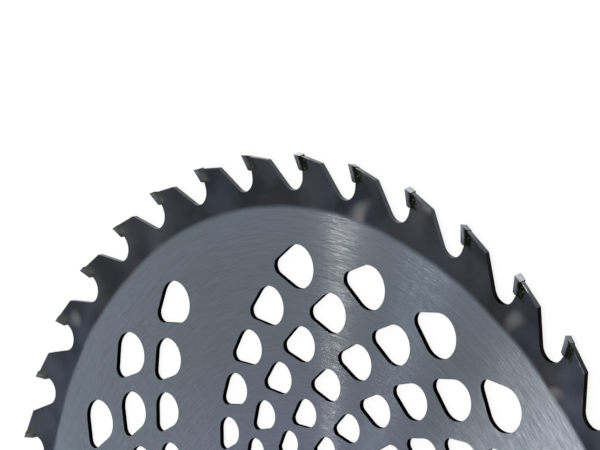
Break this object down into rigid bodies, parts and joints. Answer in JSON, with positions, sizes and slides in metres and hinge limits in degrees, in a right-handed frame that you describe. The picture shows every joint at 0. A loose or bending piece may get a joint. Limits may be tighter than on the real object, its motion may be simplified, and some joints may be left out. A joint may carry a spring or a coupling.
{
  "type": "brush cutter blade",
  "caption": "Flat round saw blade with a centre bore, hooked teeth that each carry a brazed carbide tip, and staggered rings of drop-shaped holes.",
  "frame": {"origin": "centre of the blade on the surface that the sides of the tips rest on", "axes": "+Z along the blade's axis, up out of the plate; +X through the cutting edge of carbide_tip_01; seen from above the teeth face counter-clockwise"},
  "size_m": [0.255, 0.255, 0.0021],
  "materials": {
    "plate_steel": "ground steel plate with fine circular marks, and a darker smooth rim under the teeth",
    "carbide": "ground carbide, fine satin"
  },
  "bodies": {
    "root": {"blade_plate": "plate_steel", "carbide_tip_01": "carbide", "carbide_tip_02": "carbide", "carbide_tip_03": "carbide", "carbide_tip_04": "carbide", "carbide_tip_05": "carbide", "carbide_tip_06": "carbide", "carbide_tip_07": "carbide", "carbide_tip_08": "carbide", "carbide_tip_09": "carbide", "carbide_tip_10": "carbide", "carbide_tip_11": "carbide", "carbide_tip_12": "carbide", "carbide_tip_13": "carbide", "carbide_tip_14": "carbide", "carbide_tip_15": "carbide", "carbide_tip_16": "carbide", "carbide_tip_17": "carbide", "carbide_tip_18": "carbide", "carbide_tip_19": "carbide", "carbide_tip_20": "carbide", "carbide_tip_21": "carbide", "carbide_tip_22": "carbide", "carbide_tip_23": "carbide", "carbide_tip_24": "carbide", "carbide_tip_25": "carbide", "carbide_tip_26": "carbide", "carbide_tip_27": "carbide", "carbide_tip_28": "carbide", "carbide_tip_29": "carbide", "carbide_tip_30": "carbide", "carbide_tip_31": "carbide", "carbide_tip_32": "carbide", "carbide_tip_33": "carbide", "carbide_tip_34": "carbide", "carbide_tip_35": "carbide", "carbide_tip_36": "carbide", "carbide_tip_37": "carbide", "carbide_tip_38": "carbide", "carbide_tip_39": "carbide", "carbide_tip_40": "carbide"}
  },
  "joints": []
}
